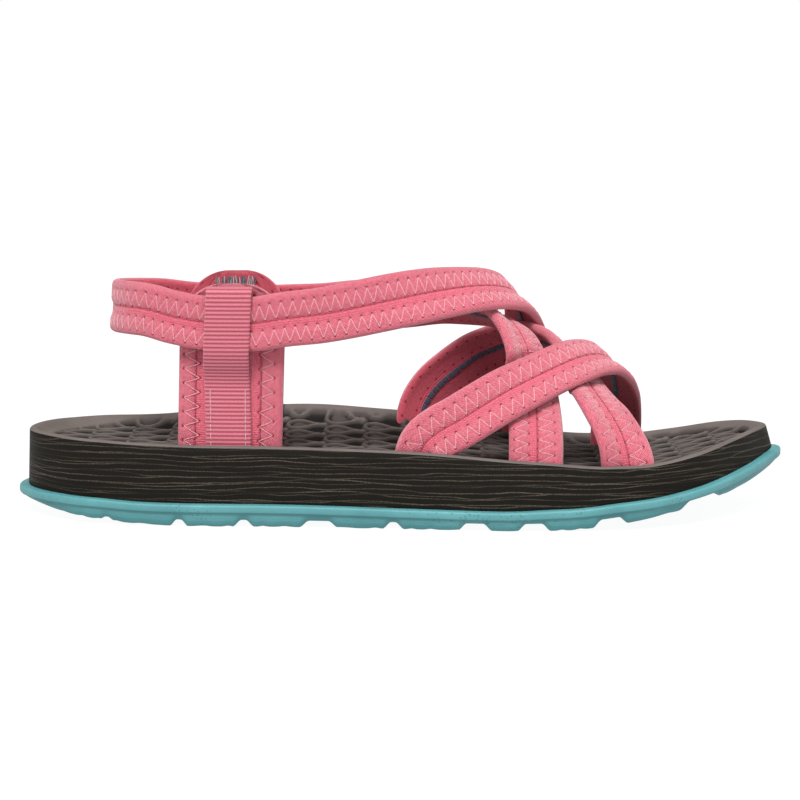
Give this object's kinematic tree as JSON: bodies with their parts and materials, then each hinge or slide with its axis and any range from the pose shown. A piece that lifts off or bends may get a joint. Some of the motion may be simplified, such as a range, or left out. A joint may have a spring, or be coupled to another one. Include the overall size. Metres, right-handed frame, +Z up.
{
  "type": "sport sandal",
  "caption": "Open sport sandal with a moulded footbed, a lugged rubber outsole, crossed padded straps over the forefoot and an ankle strap held by webbing keepers.",
  "frame": {"origin": "on the ground, below the middle of the outsole's length and width", "axes": "+X towards the toe, +Y towards the inner (medial) side of the foot, +Z up"},
  "size_m": [0.268, 0.0945, 0.0857],
  "materials": {
    "outsole_rubber": "matt, finely speckled",
    "midsole_foam": "matt foam with fine level streaks",
    "strap_fabric": "padded stretch weave with zigzag stitching",
    "webbing": "ribbed webbing"
  },
  "bodies": {
    "root": {"outsole": "outsole_rubber", "midsole": "midsole_foam", "upper_straps": "strap_fabric", "side_strap_lateral": "strap_fabric", "side_strap_medial": "strap_fabric", "keeper_lateral": "webbing", "keeper_medial": "webbing"}
  },
  "joints": []
}
